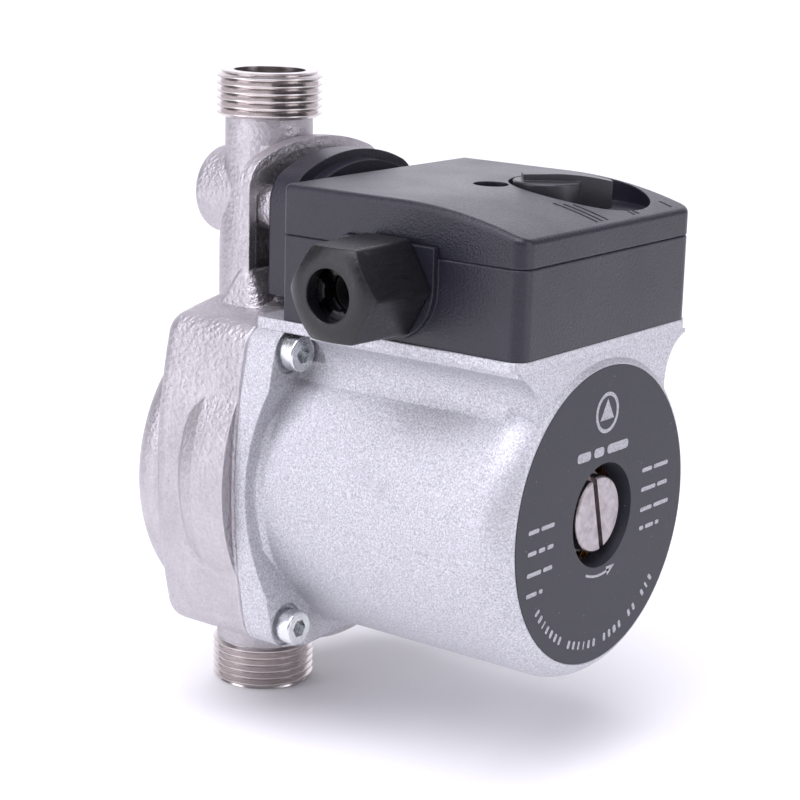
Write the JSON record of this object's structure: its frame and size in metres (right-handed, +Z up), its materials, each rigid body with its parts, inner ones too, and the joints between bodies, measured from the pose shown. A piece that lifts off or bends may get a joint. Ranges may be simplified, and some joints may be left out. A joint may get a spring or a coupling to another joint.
{
  "type": "circulator pump",
  "caption": "In-line wet-rotor circulator pump with threaded ports, motor can, terminal box with speed dial and cable gland, and a flow switch on the outlet neck.",
  "frame": {"origin": "centre of the inlet port's end face, at the lower end of the pipe axis", "axes": "+Z up along the pipe from inlet to outlet, -Y towards the nameplate along the motor axis, +X to the right seen from the nameplate side"},
  "size_m": [0.105, 0.1194, 0.16],
  "materials": {
    "cast_steel": "cast stainless steel, shot-blasted",
    "machined_steel": "machined stainless steel",
    "housing_alloy": "die-cast aluminium under silver powder coat",
    "zinc_screw": "bright zinc plate",
    "nickel_brass": "nickel-plated brass",
    "box_plastic": "fine-textured black plastic",
    "gland_plastic": "semi-gloss black nylon",
    "knob_plastic": "semi-gloss black plastic",
    "label_film": "matt charcoal printed plastic",
    "rubber_seal": "black rubber",
    "impeller_plastic": "glass-filled plastic, natural",
    "copper_winding": "enamelled copper",
    "lamination": "laminated electrical steel",
    "carbon": "resin-bonded carbon",
    "ceramic": "alumina ceramic",
    "switch_plastic": "pale grey plastic",
    "magnet": "ferrite",
    "glass_tube": "clear glass"
  },
  "bodies": {
    "pump": {"pump_housing": "cast_steel", "housing_gasket": "rubber_seal", "neck_ring": "machined_steel", "bearing_plate": "machined_steel", "rotor_can": "machined_steel", "front_bearing": "carbon", "rear_bearing": "carbon", "stator_core": "lamination", "stator_windings": "copper_winding", "motor_housing": "housing_alloy", "nameplate": "label_film", "flange_screws": "zinc_screw", "terminal_box": "box_plastic", "terminal_cover": "box_plastic", "cover_screw": "zinc_screw", "box_screws": "zinc_screw", "terminal_block": "switch_plastic", "terminal_screws": "zinc_screw", "capacitor": "switch_plastic", "speed_switch": "switch_plastic", "gland_body": "gland_plastic", "gland_seal": "rubber_seal", "flow_switch_body": "box_plastic", "flow_switch_screws": "zinc_screw", "reed_switch": "glass_tube", "flap_pin": "machined_steel"},
    "rotor": {"shaft": "ceramic", "rotor_core": "lamination", "rotor_sleeve": "machined_steel", "thrust_ring": "carbon", "impeller": "impeller_plastic", "impeller_cover": "impeller_plastic", "impeller_clip": "machined_steel"},
    "flap": {"flow_flap": "impeller_plastic", "flap_magnet": "magnet"},
    "knob": {"speed_knob": "knob_plastic"},
    "vent_ring": {"vent_seal": "rubber_seal"},
    "vent": {"vent_screw": "nickel_brass"},
    "gland_clamp": {"gland_claw": "gland_plastic"},
    "nut": {"gland_nut": "gland_plastic"}
  },
  "joints": [
    {"name": "rotor_spin", "type": "hinge", "parent": "pump", "child": "rotor", "pos_m": [0, -0.06, 0.065], "axis": [0, -1, 0], "continuous": true},
    {"name": "flow_flap_swing", "type": "hinge", "parent": "pump", "child": "flap", "pos_m": [0, 0.0096, 0.1233], "axis": [-1, 0, 0], "range_deg": [0, 50]},
    {"name": "speed_knob_turn", "type": "hinge", "parent": "pump", "child": "knob", "pos_m": [0.0116, -0.0766, 0.139], "axis": [0, 0, 1], "range_deg": [-78, 0]},
    {"name": "vent_screw_travel", "type": "slide", "parent": "pump", "child": "vent_ring", "axis": [0, -1, 0], "range_m": [0, 0.0075]},
    {"name": "vent_screw_turn", "type": "hinge", "parent": "vent_ring", "child": "vent", "pos_m": [0, -0.1, 0.065], "axis": [0, -1, 0], "range_deg": [0, 1800]},
    {"name": "gland_nut_travel", "type": "slide", "parent": "pump", "child": "gland_clamp", "axis": [-1, 0, 0], "range_m": [0, 0.006]},
    {"name": "gland_nut_turn", "type": "hinge", "parent": "gland_clamp", "child": "nut", "pos_m": [-0.045, -0.0672, 0.1198], "axis": [-1, 0, 0], "range_deg": [0, 1440]}
  ],
  "couplings": [
    {"joint": "vent_screw_turn", "follows": "vent_screw_travel", "rad_per_m": 4188.8},
    {"joint": "gland_nut_turn", "follows": "gland_nut_travel", "rad_per_m": 4188.8}
  ]
}
